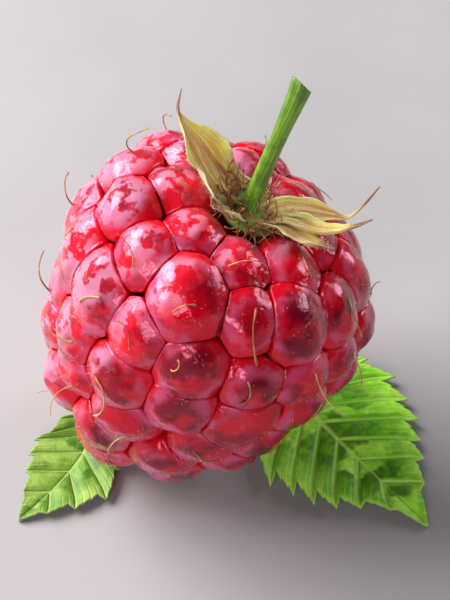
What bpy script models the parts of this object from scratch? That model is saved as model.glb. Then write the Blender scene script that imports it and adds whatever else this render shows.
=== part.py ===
"""A raspberry on two leaves: berry, calyx, stem and leaves as separate closed solids.

Sizes are written in millimetres and turned into metres by MM. +Z is up, the surface it
rests on is z = 0, and the origin is the flat spot that the berry rests on.
"""
import math
import random

import bmesh
import bpy
from mathutils import Matrix, Vector

MM = 0.001

# The berry, in its own frame: its axis is +Z, from the tip up to the stem.
# OUTLINE runs through the middles of the drupelets, as (radius, height) from the stem end down.
OUTLINE = [(4.7, 8.8), (7.3, 8.0), (9.0, 5.3), (9.4, 2.1), (9.05, -1.4), (8.1, -4.9),
           (6.6, -8.1), (4.6, -10.8), (2.1, -12.2), (0.0, -12.5)]
ROW_STEP = 3.43
# Each row from the stem end down: how many drupelets, and the share of a step that it is turned by.
ROWS = [(8, 0.90), (13, 0.05), (16, 0.50), (14, 0.60), (12, 0.20), (11, 0.00), (8, 0.30), (5, 0.40)]
DRUPELET = (2.5, 2.75, 2.35)  # half sizes: round the berry, along the outline, outwards
DRUPELET_SIDES = 12
DRUPELET_RINGS = 7
SIZE_SPREAD = 0.05
PLACE_SPREAD = 0.15
SEED = 11
CORE_OUTSET = 0.3  # the flesh behind the drupelets closes the pits where three of them meet
CORE_TOP = [(0.0, 9.0), (1.5, 9.0), (3.0, 8.1)]
CORE_STEPS = 2
CORE_SIDES = 24

# How the berry stands: leaning to +X, with its lower part bent to -X.
LEAN = math.radians(17.0)
BEND = 1.6
BEND_FROM = 8.7
BEND_LENGTH = 20.0
SHOULDER_LIFT = 0.15  # how much the shoulder on the -X side stands above the one on the +X side
SHOULDER_FROM = 2.0
SHOULDER_FULL = 8.0
MIDDLE = (1.0, -0.8, 13.35)  # the berry's middle, which leaves 0.4 mm of its lowest drupelets to flatten

# The calyx and the stem, in the berry's own frame.
DISC = [(0.0, 10.7), (1.6, 10.7), (2.1, 10.4), (1.9, 9.9), (1.3, 9.3), (0.0, 9.3)]
DISC_SIDES = 20
SEPAL_THICKNESS = 0.6
SEPAL_CUP = 0.3  # how far the sides of a sepal rise, as a share of its half width
SEPAL_STEPS = 3
SEPAL_ACROSS = (-1.0, -0.5, 0.0, 0.5, 1.0)
# Each blade: its turn and roll in degrees, then (radius, height, half width) from root to tip.
# In order: the tall hooded sepal at the back left, the upper and the lower half of the folded
# sepal on the right, the small one in front of it, the short front left one, the one behind the stem.
SEPALS = [
    (-107, 0, [(1.0, 10.3, 1.2), (2.3, 10.9, 2.2), (3.4, 11.6, 2.7), (4.5, 12.5, 2.3), (5.6, 13.5, 1.3),
               (6.5, 14.4, 0.5), (6.85, 15.1, 0.28), (6.95, 16.6, 0.2)]),
    (95, -12, [(1.0, 10.3, 0.8), (2.5, 11.6, 0.9), (4.2, 11.9, 1.0), (5.9, 12.2, 0.6), (7.0, 12.4, 0.3),
               (7.7, 13.8, 0.22), (8.3, 15.8, 0.2)]),
    (70, 12, [(1.0, 10.3, 0.9), (2.7, 11.5, 1.1), (4.5, 12.0, 1.2), (5.8, 12.8, 1.0), (6.9, 14.0, 0.5),
              (8.0, 15.5, 0.22)]),
    (53, 5, [(1.0, 10.2, 0.8), (2.6, 11.4, 1.1), (4.1, 11.7, 1.1), (5.5, 12.3, 0.8), (6.7, 13.1, 0.22)]),
    (-50, 0, [(1.0, 10.2, 0.9), (2.1, 11.0, 1.2), (3.1, 11.6, 1.0), (4.1, 11.8, 0.35)]),
    (158, 0, [(1.0, 10.2, 0.8), (1.8, 10.8, 0.8), (2.4, 11.2, 0.6), (2.9, 11.5, 0.25)]),
]
STEM_PATH = [(-0.1, 0.0, 11.25), (0.0, 0.0, 14.6), (0.25, 0.0, 17.9), (0.62, 0.0, 21.75)]
STEM_RADII = [0.66, 0.55, 0.55, 0.74]
STEM_SLANT = 0.6  # drop of the slanting cut for each step across
STEM_SLANT_SIDE = (0.6, 0.8, 0.0)  # the side that the cut drops to
STEM_SIDES = 12
TUBE_STEPS = 4

# The leaves, in the frame of the whole: the midrib runs from the stalk's end of the blade to the tip.
LEAF_THICKNESS = 0.6
LEAF_RELIEF = 0.35  # how far the blade bulges up between its side veins
LEAF_ACROSS = (0.0, 0.3, 0.6, 0.85, 1.0)
LEAF_BULGE = (0.0, 0.8, 1.0, 0.7, 0.4)
MARGIN_LIFT = 0.25  # how far the edge of the blade curls up from the surface
NOTCH_PLACE = 0.34  # how far a notch lies on the way to the next tooth, so that the teeth point to the tip
NOTCH_DEPTH = 0.13  # a notch's depth, as a share of the half width
VEIN_ROOTS = (0.04, 0.9)  # where the first and the last side vein leave the midrib, as shares of its length
STALK_RADIUS = 0.45
STALK_SIDES = 8
STALK_OVERLAP = 1.5
# Each leaf: its midrib, its stalk from the blade outwards, and for each side the places of its
# tooth tips from the base, as (distance along the midrib, distance out from it).
RIGHT_LEAF = {
    "midrib": [(6.4, 4.8), (12.1, -3.1), (17.7, -10.5)],
    "stalk": [(6.4, 4.8), (4.7, 7.2), (3.9, 9.4)],
    "left_teeth": [(1.0, 5.4), (3.0, 7.2), (5.8, 7.9), (8.4, 7.3), (10.6, 6.6), (12.4, 5.3), (14.0, 4.2),
                   (15.9, 2.5)],
    "right_teeth": [(2.8, 4.6), (5.8, 6.6), (8.7, 7.3), (10.5, 6.6), (12.1, 5.9), (13.5, 4.8), (14.7, 3.3),
                    (16.2, 1.5)],
}
LEFT_LEAF = {
    "midrib": [(-8.6, 0.8), (-8.6, -2.9), (-10.5, -6.5), (-13.2, -9.9)],
    "stalk": [(-8.6, 0.8), (-8.9, 2.8), (-9.8, 4.8)],
    "left_teeth": [(0.6, 1.1), (2.6, 1.5), (4.6, 2.5), (6.9, 3.9), (8.8, 2.9), (10.4, 1.5)],
    "right_teeth": [(0.8, 2.3), (2.6, 3.2), (4.6, 4.0), (6.7, 3.7), (8.4, 2.8), (10.2, 1.5)],
}

# How each body looks without its finish: its colour and its roughness.
SURFACES = {
    "berry": ((0.42, 0.012, 0.03), 0.3),
    "calyx": ((0.42, 0.30, 0.10), 0.7),
    "stem": ((0.14, 0.40, 0.04), 0.5),
    "leaf_left": ((0.30, 0.40, 0.09), 0.6),
    "leaf_right": ((0.10, 0.24, 0.03), 0.6),
}
SHARP_ANGLE = math.radians(50.0)  # edges sharper than this are shaded as edges


def smooth(points, steps=12):
    """A smooth Catmull-Rom curve through the points, as a list of vectors."""
    points = [Vector(p) for p in points]
    ends = [2 * points[0] - points[1]] + points + [2 * points[-1] - points[-2]]
    curve = []
    for a, b, c, d in zip(ends, ends[1:], ends[2:], ends[3:]):
        for k in range(steps):
            t = k / steps
            curve.append(0.5 * (2 * b + (c - a) * t + (2 * a - 5 * b + 4 * c - d) * t ** 2
                                + (3 * b - a - 3 * c + d) * t ** 3))
    curve.append(points[-1])
    return curve


def along(curve, distance):
    """The point and the unit direction at a distance along a curve."""
    for a, b in zip(curve, curve[1:]):
        step = (b - a).length
        if distance <= step or b is curve[-1]:
            return a.lerp(b, min(distance / step, 1.0)), (b - a).normalized()
        distance -= step


def compass(turn):
    """The level direction at a turn from the front, -Y, towards +X."""
    return Vector((math.sin(turn), -math.cos(turn), 0.0))


def stand(point):
    """A point in the berry's own frame, bent, leaned and moved to where the berry stands."""
    x = point.x - BEND * ((BEND_FROM - point.z) / BEND_LENGTH) ** 2
    share = min(max((point.z - SHOULDER_FROM) / (SHOULDER_FULL - SHOULDER_FROM), 0.0), 1.0)
    z = point.z - SHOULDER_LIFT * share * point.x
    return Matrix.Rotation(LEAN, 3, "Y") @ Vector((x, point.y, z)) + Vector(MIDDLE)


def material(name, color, roughness):
    made = bpy.data.materials.new(name)
    made.use_nodes = True
    shader = made.node_tree.nodes["Principled BSDF"]
    shader.inputs["Base Color"].default_value = (*color, 1.0)
    shader.inputs["Roughness"].default_value = roughness
    shader.inputs["Metallic"].default_value = 0.0
    return made


def add_object(name, mesh, collection=None):
    made = bpy.data.objects.new(name, mesh)
    (collection or bpy.context.scene.collection).objects.link(made)
    return made


def mesh_from(name, bm):
    """A mesh from a bmesh, in whatever units it was built, with its faces pointing out."""
    bmesh.ops.recalc_face_normals(bm, faces=bm.faces)
    mesh = bpy.data.meshes.new(name)
    bm.to_mesh(mesh)
    bm.free()
    return mesh


def join(name, base, pieces):
    """One solid from a base mesh and a list of (mesh, matrix) pieces, by one Boolean union."""
    group = bpy.data.collections.new(name + "_pieces")
    bpy.context.scene.collection.children.link(group)
    for mesh, matrix in pieces:
        piece = add_object(name + "_piece", mesh, group)
        piece.matrix_world = matrix
    body = add_object(name, base)
    union = body.modifiers.new("Join", "BOOLEAN")
    union.operation = "UNION"
    union.operand_type = "COLLECTION"
    union.collection = group
    union.solver = "EXACT"
    bpy.context.view_layer.update()
    joined = bpy.data.meshes.new_from_object(body.evaluated_get(bpy.context.evaluated_depsgraph_get()))
    body.modifiers.remove(union)
    body.data = joined
    for piece in list(group.objects):
        bpy.data.objects.remove(piece)
    bpy.data.collections.remove(group)
    return body


def finish(body, place):
    """Put a body's points in place, in metres, and give it its material and shading."""
    for vertex in body.data.vertices:
        vertex.co = place(vertex.co) * MM
    body.data.materials.clear()
    body.data.materials.append(material(body.name + "_surface", *SURFACES[body.name]))
    body.data.shade_smooth()
    body.data.set_sharp_from_angle(angle=SHARP_ANGLE)


def turned(profile, sides):
    """A closed solid turned round the Z axis from (radius, height) points, axis to axis."""
    bm = bmesh.new()
    rings = []
    for radius, height in profile:
        if radius == 0:
            rings.append([bm.verts.new((0.0, 0.0, height))])
            continue
        ring = [compass(2 * math.pi * k / sides) * radius + Vector((0, 0, height)) for k in range(sides)]
        rings.append([bm.verts.new(point) for point in ring])
    for upper, lower in zip(rings, rings[1:]):
        for k in range(sides):
            corners = [upper[k % len(upper)], lower[k % len(lower)],
                       lower[(k + 1) % len(lower)], upper[(k + 1) % len(upper)]]
            bm.faces.new(list(dict.fromkeys(corners)))
    return mesh_from("turned", bm)


def drupelet_matrices():
    """Where each drupelet sits and how big it is: its Z axis points out of the berry."""
    draw = random.Random(SEED)
    curve = smooth(OUTLINE)
    length = sum((b - a).length for a, b in zip(curve, curve[1:]))
    rows = [(k * ROW_STEP, count, turned_by) for k, (count, turned_by) in enumerate(ROWS)]
    rows.append((length, 1, 0.0))
    matrices = []
    for distance, count, turned_by in rows:
        (radius, height), (outwards, upwards) = along(curve, distance)
        for k in range(count):
            level = compass(2 * math.pi * (k + turned_by) / count)
            outline = level * outwards + Vector((0, 0, upwards))
            normal = level * -upwards + Vector((0, 0, outwards))
            around = outline.cross(normal)
            place = level * radius + Vector((0, 0, height))
            place += (around * draw.uniform(-1, 1) + outline * draw.uniform(-1, 1)) * PLACE_SPREAD
            size = 1 + draw.uniform(-1, 1) * SIZE_SPREAD
            axes = Matrix((around, outline, normal)).transposed().to_4x4()
            matrices.append(Matrix.Translation(place) @ axes @ Matrix.Diagonal((*(h * size for h in DRUPELET), 1)))
    return matrices


def make_berry():
    """Every drupelet and the flesh behind them, grown together into one body."""
    curve = smooth(OUTLINE, steps=CORE_STEPS)
    profile = list(CORE_TOP)
    for a, b in zip(curve, curve[1:]):
        direction = (b - a).normalized()
        middle = (a + b) / 2 + Vector((-direction.y, direction.x)) * CORE_OUTSET
        profile.append(tuple(middle))
    profile.append((0.0, OUTLINE[-1][1] - CORE_OUTSET))
    bm = bmesh.new()
    bmesh.ops.create_uvsphere(bm, u_segments=DRUPELET_SIDES, v_segments=DRUPELET_RINGS, radius=1.0)
    ball = mesh_from("drupelet", bm)
    return join("berry", turned(profile, CORE_SIDES), [(ball, matrix) for matrix in drupelet_matrices()])


def flatten(body):
    """Cut away what is under z = 0 and close the flat spots."""
    bm = bmesh.new()
    bm.from_mesh(body.data)
    everything = bm.verts[:] + bm.edges[:] + bm.faces[:]
    bmesh.ops.bisect_plane(bm, geom=everything, plane_co=(0, 0, 0), plane_no=(0, 0, -1), clear_outer=True)
    bmesh.ops.holes_fill(bm, edges=[edge for edge in bm.edges if edge.is_boundary])
    bm.to_mesh(body.data)
    bm.free()


def loft(rings):
    """A closed solid through rings of points, with a flat face on its first and its last ring."""
    bm = bmesh.new()
    rows = [[bm.verts.new(point) for point in ring] for ring in rings]
    count = len(rows[0])
    for a, b in zip(rows, rows[1:]):
        for k in range(count):
            bm.faces.new((a[k], a[(k + 1) % count], b[(k + 1) % count], b[k]))
    bm.faces.new(rows[0])
    bm.faces.new(rows[-1])
    return bm


def tube(path, radii, sides, reference, slant=0.0):
    """A closed tube along a smooth path. The last ring drops by slant for each step towards reference."""
    curve = smooth([(*point, radius) for point, radius in zip(path, radii)], steps=TUBE_STEPS)
    rings = []
    for k, here in enumerate(curve):
        ahead = curve[min(k + 1, len(curve) - 1)] - curve[max(k - 1, 0)]
        tangent = Vector(ahead[:3]).normalized()
        across = (Vector(reference) - tangent * tangent.dot(reference)).normalized()
        other = tangent.cross(across)
        drop = slant if k == len(curve) - 1 else 0.0
        ring = []
        for side in range(sides):
            angle = 2 * math.pi * side / sides
            offset = (across * math.cos(angle) + other * math.sin(angle)) * here[3]
            ring.append(Vector(here[:3]) + offset - tangent * drop * offset.dot(across))
        rings.append(ring)
    return mesh_from("tube", loft(rings))


def sepal(turn, roll, points):
    """A cupped blade in the upright plane at a turn, from the calyx's disc out to its tip."""
    level = compass(math.radians(turn))
    path = [(*(level * radius + Vector((0, 0, height))), half) for radius, height, half in points]
    curve = smooth(path, steps=SEPAL_STEPS)
    rings = []
    for k, here in enumerate(curve):
        ahead = curve[min(k + 1, len(curve) - 1)] - curve[max(k - 1, 0)]
        tangent = Vector(ahead[:3]).normalized()
        across = Matrix.Rotation(math.radians(roll), 3, tangent) @ tangent.cross(Vector((0, 0, 1))).normalized()
        up = across.cross(tangent)
        half = here[3]
        upper = []
        lower = []
        for u in SEPAL_ACROSS:
            middle = Vector(here[:3]) + across * u * half + up * SEPAL_CUP * half * u ** 2
            upper.append(middle + up * SEPAL_THICKNESS / 2)
            lower.append(middle - up * SEPAL_THICKNESS / 2)
        rings.append(upper + lower[::-1])
    bm = loft(rings)
    bmesh.ops.triangulate(bm, faces=bm.faces[:])
    return mesh_from("sepal", bm)


def make_calyx():
    blades = [(sepal(*values), Matrix()) for values in SEPALS]
    return join("calyx", turned(DISC, DISC_SIDES), blades)


def make_stem():
    return add_object("stem", tube(STEM_PATH, STEM_RADII, STEM_SIDES, STEM_SLANT_SIDE, STEM_SLANT))


def leaf_rim(teeth):
    """The tooth tips and the notches between them, from base to tip, as (along, out, bulge)."""
    rim = []
    for k, (distance, out) in enumerate(teeth):
        rim.append((distance, out, 0.0))
        if k + 1 < len(teeth):
            ahead, ahead_out = teeth[k + 1]
            notch_out = (out + (ahead_out - out) * NOTCH_PLACE) * (1 - NOTCH_DEPTH)
            rim.append((distance + (ahead - distance) * NOTCH_PLACE, notch_out, 1.0))
    return rim


def leaf_pair(bm, spot, height):
    """A point on the upper side of the blade and the one under it."""
    return bm.verts.new((*spot, height)), bm.verts.new((*spot, height - LEAF_THICKNESS))


def leaf_half(bm, midrib, roots, spine, teeth, side):
    """One half of the blade: rows of point pairs from the midrib out to each tooth tip and notch."""
    rows = []
    for root, middle, (distance, out, bulge) in zip(roots, spine, leaf_rim(teeth)):
        beside, direction = along(midrib, distance)
        end = beside + Vector((-direction.y, direction.x)) * side * out
        row = [middle]
        for share, swell in list(zip(LEAF_ACROSS, LEAF_BULGE))[1:]:
            height = LEAF_THICKNESS + LEAF_RELIEF * bulge * swell + MARGIN_LIFT * share ** 3
            row.append(leaf_pair(bm, root.lerp(end, share), height))
        rows.append(row)
    return rows


def make_leaf(name, shape):
    """A toothed blade with bulges between its side veins, and a stalk, as one solid."""
    midrib = smooth(shape["midrib"])
    length = sum((b - a).length for a, b in zip(midrib, midrib[1:]))
    bm = bmesh.new()
    base = leaf_pair(bm, midrib[0], LEAF_THICKNESS)
    tip = leaf_pair(bm, midrib[-1], LEAF_THICKNESS)
    count = len(leaf_rim(shape["left_teeth"]))
    first, last = VEIN_ROOTS
    roots = [along(midrib, length * (first + (last - first) * k / (count - 1)))[0] for k in range(count)]
    spine = [leaf_pair(bm, root, LEAF_THICKNESS) for root in roots]
    for side, teeth in ((1, shape["left_teeth"]), (-1, shape["right_teeth"])):
        rows = leaf_half(bm, midrib, roots, spine, teeth, side)
        corners = []
        for a, b in zip(rows, rows[1:]):
            for k in range(len(a) - 1):
                corners.append((a[k], a[k + 1], b[k + 1]))
                corners.append((a[k], b[k + 1], b[k]))
        for k in range(len(rows[0]) - 1):
            corners.append((base, rows[0][k + 1], rows[0][k]))
            corners.append((tip, rows[-1][k], rows[-1][k + 1]))
        for triangle in corners:
            bm.faces.new([top for top, _ in triangle])
            bm.faces.new([bottom for _, bottom in triangle][::-1])
        rim = [base] + [row[-1] for row in rows] + [tip]
        for a, b in zip(rim, rim[1:]):
            bm.faces.new((a[0], b[0], b[1], a[1]))
    blade = mesh_from(name, bm)
    inner = midrib[0] + (midrib[1] - midrib[0]).normalized() * STALK_OVERLAP
    path = [(*spot, STALK_RADIUS) for spot in (inner, *shape["stalk"])]
    stalk = tube(path, [STALK_RADIUS] * len(path), STALK_SIDES, (0, 0, 1))
    return join(name, blade, [(stalk, Matrix())])


def main():
    for old in list(bpy.data.objects):
        bpy.data.objects.remove(old)
    berry = make_berry()
    finish(berry, stand)
    flatten(berry)
    finish(make_calyx(), stand)
    finish(make_stem(), stand)
    finish(make_leaf("leaf_left", LEFT_LEAF), Vector)
    finish(make_leaf("leaf_right", RIGHT_LEAF), Vector)


main()
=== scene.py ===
# %% [markdown]
# # A raspberry on two leaves
#
# This lesson gives a ripe raspberry its looks: glossy drupelets, dry sepals, a green stem,
# fine threads, pale down and two toothed leaves. The solid model of the fruit is loaded first
# and is never moved. Each finished piece takes the place of one of its solids.

import math
import random

import bmesh
import bpy
import numpy as np
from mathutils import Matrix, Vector


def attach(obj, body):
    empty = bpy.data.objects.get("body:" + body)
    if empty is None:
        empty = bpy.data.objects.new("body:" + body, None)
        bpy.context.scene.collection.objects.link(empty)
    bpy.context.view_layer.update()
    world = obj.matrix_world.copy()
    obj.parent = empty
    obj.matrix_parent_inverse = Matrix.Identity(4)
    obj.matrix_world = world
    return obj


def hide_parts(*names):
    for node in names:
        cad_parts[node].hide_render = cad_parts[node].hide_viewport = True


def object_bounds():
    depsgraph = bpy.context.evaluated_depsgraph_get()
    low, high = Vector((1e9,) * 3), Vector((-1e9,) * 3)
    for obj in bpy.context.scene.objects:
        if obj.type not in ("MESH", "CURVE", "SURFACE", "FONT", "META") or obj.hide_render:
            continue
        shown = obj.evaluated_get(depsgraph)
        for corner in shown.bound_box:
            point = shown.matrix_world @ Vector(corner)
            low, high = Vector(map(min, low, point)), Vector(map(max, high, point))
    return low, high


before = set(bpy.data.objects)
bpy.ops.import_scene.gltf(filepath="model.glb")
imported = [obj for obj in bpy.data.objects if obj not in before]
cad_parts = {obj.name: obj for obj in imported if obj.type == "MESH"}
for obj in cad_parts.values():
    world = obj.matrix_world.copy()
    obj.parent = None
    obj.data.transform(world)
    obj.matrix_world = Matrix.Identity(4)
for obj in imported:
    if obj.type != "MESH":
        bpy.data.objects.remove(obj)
solid_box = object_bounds()
print("solid pieces:", ", ".join(sorted(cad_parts)))

# %% [markdown]
# ## The berry's own frame
#
# The fruit was designed upright, in millimetres, with its axis along +Z, and then bent and
# leaned to where it stands. Everything that grows on the fruit is built in that upright frame
# and goes through the same function, so the looks and the solids agree.

# %% From the upright berry to where it stands
MM = 0.001
BOX_LOW = np.array(solid_box[0]) / MM
BOX_HIGH = np.array(solid_box[1]) / MM
LEAN = math.radians(17.0)
BEND = 1.6  # how far the axis has bent aside at a distance of BEND_LENGTH below BEND_FROM
BEND_FROM = 8.7
BEND_LENGTH = 20.0
SHOULDER_LIFT = 0.15  # how steeply the top rises towards -X, in full above SHOULDER_FULL
SHOULDER_FROM = 2.0
SHOULDER_FULL = 8.0
MIDDLE = np.array((1.0, -0.8, 13.35))


def stand(points):
    """Points of the upright berry, in millimetres, moved to where the berry stands."""
    x, y, z = np.asarray(points, float).T
    bent = x - BEND * ((BEND_FROM - z) / BEND_LENGTH) ** 2
    share = np.clip((z - SHOULDER_FROM) / (SHOULDER_FULL - SHOULDER_FROM), 0, 1)
    lifted = z - SHOULDER_LIFT * share * x
    across = bent * math.cos(LEAN) + lifted * math.sin(LEAN)
    upwards = lifted * math.cos(LEAN) - bent * math.sin(LEAN)
    return np.stack([across, y, upwards], axis=1) + MIDDLE


def lie(points):
    """Points that are already where they belong, in millimetres."""
    return np.asarray(points, float)


# %% [markdown]
# ## Camera and lights
#
# The photograph looks down on the fruit at about 45 degrees through a long lens. One large
# soft light stands behind the upper left and gives each drupelet its pale window. A small one
# fills the front, another brightens the right edge, and a dim world lights the rest.

# %% Camera
VIEW_DOWN = math.radians(45.0)
VIEW_DISTANCE = 104.3
AIM_RIGHT = 1.4
AIM_UP = 0.96
LENS = 85.0
SENSOR_HEIGHT = 36.0
CLIP_START = 0.005


def add_object(name, data):
    """A new object in the scene that shows a mesh, a light or a camera."""
    made = bpy.data.objects.new(name, data)
    bpy.context.scene.collection.objects.link(made)
    return made


right = Vector((1, 0, 0))
up = Vector((0, math.sin(VIEW_DOWN), math.cos(VIEW_DOWN)))
back = right.cross(up)
lens = bpy.data.cameras.new("camera")
lens.lens = LENS
lens.sensor_fit = "VERTICAL"
lens.sensor_height = SENSOR_HEIGHT
lens.clip_start = CLIP_START
camera = add_object("camera", lens)
camera.location = (Vector(MIDDLE) + right * AIM_RIGHT + up * AIM_UP + back * VIEW_DISTANCE) * MM
camera.rotation_euler = back.to_track_quat("Z", "Y").to_euler()
bpy.context.scene.camera = camera
bpy.context.scene.view_settings.view_transform = "Standard"
print("camera at", [round(c, 4) for c in camera.location])

# %% Lights
LIGHT_DISTANCE = 0.50
# Each light: the direction it stands in, its width and height, its power and its colour.
LIGHTS = {
    "window": ((-0.70, 0.33, 0.63), 0.50, 0.32, 7.0, (1.0, 0.95, 0.98)),
    "front fill": ((-0.20, -0.90, 0.40), 0.24, 0.16, 1.10, (1.0, 0.95, 0.98)),
    "right rim": ((0.85, 0.45, 0.35), 0.20, 0.20, 0.95, (1.0, 0.92, 0.98)),
}
WORLD_COLOR = (0.90, 0.86, 0.95, 1)
WORLD_STRENGTH = 0.09

for name, (direction, width, height, power, color) in LIGHTS.items():
    light = bpy.data.lights.new(name, "AREA")
    light.shape = "RECTANGLE"
    light.size = width
    light.size_y = height
    light.energy = power
    light.color = color
    lamp = add_object(name, light)
    towards = Vector(direction).normalized()
    lamp.location = Vector(MIDDLE) * MM + towards * LIGHT_DISTANCE
    lamp.rotation_euler = towards.to_track_quat("Z", "Y").to_euler()
world = bpy.data.worlds.new("studio")
world.use_nodes = True
world.node_tree.nodes["Background"].inputs["Color"].default_value = WORLD_COLOR
world.node_tree.nodes["Background"].inputs["Strength"].default_value = WORLD_STRENGTH
bpy.context.scene.world = world
print("lights:", ", ".join(LIGHTS))


# %% [markdown]
# ## Wiring for node trees
#
# Both materials and geometry are built from nodes. A small class adds a node, sets its
# properties, feeds its sockets and gives back its outputs, so that each tree below reads
# from top to bottom. Its short methods stand for the nodes that are used most.

# %% Wiring
class Wiring:
    """Adds nodes to a tree, fed from values or from other sockets, and gives their outputs."""

    def __init__(self, tree):
        self.tree = tree

    def feed(self, socket, value):
        if isinstance(value, bpy.types.NodeSocket):
            self.tree.links.new(value, socket)
        else:
            socket.default_value = value

    def add(self, kind, inputs=None, **settings):
        """Add a node, set its properties, feed its sockets, and give its outputs."""
        made = self.tree.nodes.new(kind)
        for name, value in settings.items():
            setattr(made, name, value)
        for name, value in (inputs or {}).items():
            self.feed(made.inputs[name], value)
        return made.outputs

    def math(self, operation, *values):
        return self.add("ShaderNodeMath", dict(enumerate(values)), operation=operation)[0]

    def plus(self, first, second):
        return self.math("ADD", first, second)

    def minus(self, first, second):
        return self.math("SUBTRACT", first, second)

    def times(self, first, second):
        return self.math("MULTIPLY", first, second)

    def vector(self, operation, *values):
        """A Vector Math node. A dot product gives a number, the others a vector."""
        made = self.add("ShaderNodeVectorMath", dict(enumerate(values)), operation=operation)
        return made["Value" if operation == "DOT_PRODUCT" else "Vector"]

    def scaled(self, vector, amount):
        return self.add("ShaderNodeVectorMath", {0: vector, "Scale": amount}, operation="SCALE")["Vector"]

    def fade(self, value, low, high):
        """A share that eases from 0 where the value is low to 1 where it is high."""
        return self.add("ShaderNodeMapRange", {"Value": value, "From Min": low, "From Max": high},
                        interpolation_type="SMOOTHSTEP")["Result"]


def new_group(name, kind, inputs, outputs):
    """A node group with inputs as (name, type, default) and outputs as (name, type)."""
    group = bpy.data.node_groups.new(name, kind)
    for direction, rows in (("INPUT", inputs), ("OUTPUT", outputs)):
        for title, socket_type, *default in rows:
            socket = group.interface.new_socket(
                name=title, in_out=direction, socket_type="NodeSocket" + socket_type)
            if default:
                socket.default_value = default[0]
    wiring = Wiring(group)
    return wiring, wiring.add("NodeGroupInput"), group.nodes.new("NodeGroupOutput").inputs


# %% [markdown]
# ## Effects that several finishes share
#
# Fruit skin, leaf, sepal and stem all have soft blotches of colour, and all but the berry have
# streaks along their growth. Each effect is one node group: it gives a mask from 0 to 1.

# %% Blotches and streaks
wiring, start, end = new_group("blotches", "ShaderNodeTree", [
    ("Place", "Vector"), ("Scale", "Float", 500.0), ("Low", "Float", 0.4), ("High", "Float", 0.6)],
    [("Mask", "Float")])
cloud = wiring.add("ShaderNodeTexNoise", {
    "Vector": start["Place"], "Scale": start["Scale"], "Detail": 3.0, "Roughness": 0.55})
wiring.feed(end["Mask"], wiring.fade(cloud["Fac"], start["Low"], start["High"]))
blotches = wiring.tree

wiring, start, end = new_group("streaks", "ShaderNodeTree", [
    ("Place", "Vector"), ("Along", "Float", 2.0), ("Across", "Float", 20.0), ("Low", "Float", 0.4),
    ("High", "Float", 0.6)], [("Mask", "Float")])
stretch = wiring.add("ShaderNodeCombineXYZ", {"X": start["Along"], "Y": start["Across"], "Z": 1.0})
fibres = wiring.add("ShaderNodeTexNoise", {
    "Vector": wiring.vector("MULTIPLY", start["Place"], stretch["Vector"]),
    "Scale": 1.0, "Detail": 4.0, "Roughness": 0.6})
wiring.feed(end["Mask"], wiring.fade(fibres["Fac"], start["Low"], start["High"]))
streaks = wiring.tree
print("shared effects:", blotches.name, "and", streaks.name)


# %% [markdown]
# ## Finishes
#
# A finish is a new material with the wiring for its nodes. It knows where a point lies, by
# Object coordinates or by the UV map, and it lays one tint over another, each by its share.

# %% Finish
class Finish(Wiring):
    """A new material, wired to its Principled shader."""

    def __init__(self, name):
        self.material = bpy.data.materials.new(name)
        self.material.use_nodes = True
        super().__init__(self.material.node_tree)
        self.place = self.add("ShaderNodeTexCoord")["Object"]

    def set(self, values):
        """Feed the shader's sockets by name."""
        for name, value in values.items():
            self.feed(self.tree.nodes["Principled BSDF"].inputs[name], value)

    def uv(self):
        return self.add("ShaderNodeUVMap", uv_map="UVMap")["UV"]

    def mark(self, name):
        """An attribute that the geometry carries."""
        return self.add("ShaderNodeAttribute", attribute_name=name)["Fac"]

    def noise(self, scale, detail):
        return self.add("ShaderNodeTexNoise", {"Vector": self.place, "Scale": scale, "Detail": detail})["Fac"]

    def patches(self, scale, low, high):
        return self.add("ShaderNodeGroup", {
            "Place": self.place, "Scale": scale, "Low": low, "High": high}, node_tree=blotches)["Mask"]

    def lines(self, uv, along, across, low=0.4, high=0.6):
        made = self.add("ShaderNodeGroup", {
            "Place": uv, "Along": along, "Across": across, "Low": low, "High": high}, node_tree=streaks)
        return made["Mask"]

    def ranged(self, share, low, high):
        """A value between low and high by a share."""
        return self.add("ShaderNodeMapRange", {"Value": share, "To Min": low, "To Max": high})["Result"]

    def mix(self, share, first, second):
        """Mix two colours by a share."""
        values = {0: share, 6: first, 7: second}
        padded = {k: (*value, 1.0) if isinstance(value, tuple) else value for k, value in values.items()}
        return self.add("ShaderNodeMix", padded, data_type="RGBA")[2]

    def layers(self, color, rows):
        """Lay tints over a colour, each given as (share, strength, tint)."""
        for share, strength, tint in rows:
            color = self.mix(self.times(share, strength), color, tint)
        return color

    def bump(self, height, strength, distance):
        self.set({"Normal": self.add("ShaderNodeBump", {
            "Height": height, "Strength": strength, "Distance": distance})["Normal"]})


def two_tone(name, scale, low, high, first, second, roughness):
    """A finish of soft blotches in two tones."""
    finish = Finish(name)
    finish.set({"Base Color": finish.mix(finish.patches(scale, low, high), first, second),
                "Roughness": roughness})
    return finish.material


# %% [markdown]
# ## Floor
#
# A plain pale floor with the faintest mottling keeps the attention on the fruit.

# %% Floor
FLOOR_HALF = 1.0
FLOOR_BELOW = 0.00002
corners = [(x * FLOOR_HALF, y * FLOOR_HALF, -FLOOR_BELOW) for x, y in ((-1, -1), (1, -1), (1, 1), (-1, 1))]
floor_mesh = bpy.data.meshes.new("floor")
floor_mesh.from_pydata(corners, [], [(0, 1, 2, 3)])
floor_mesh.materials.append(two_tone(
    "floor paper", 60.0, 0.3, 0.7, (0.33, 0.33, 0.325), (0.35, 0.35, 0.345), 0.6))
floor = add_object("floor", floor_mesh)
print("floor:", 2 * FLOOR_HALF, "m wide")


# %% [markdown]
# ## Where the drupelets sit
#
# A raspberry is a heap of small fruits, the drupelets, in rows round a hollow cone. The rows
# follow the solid model's outline, with its counts, turns and random draw. A second draw then
# shifts each drupelet a little and varies its size, as on a real fruit.

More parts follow.
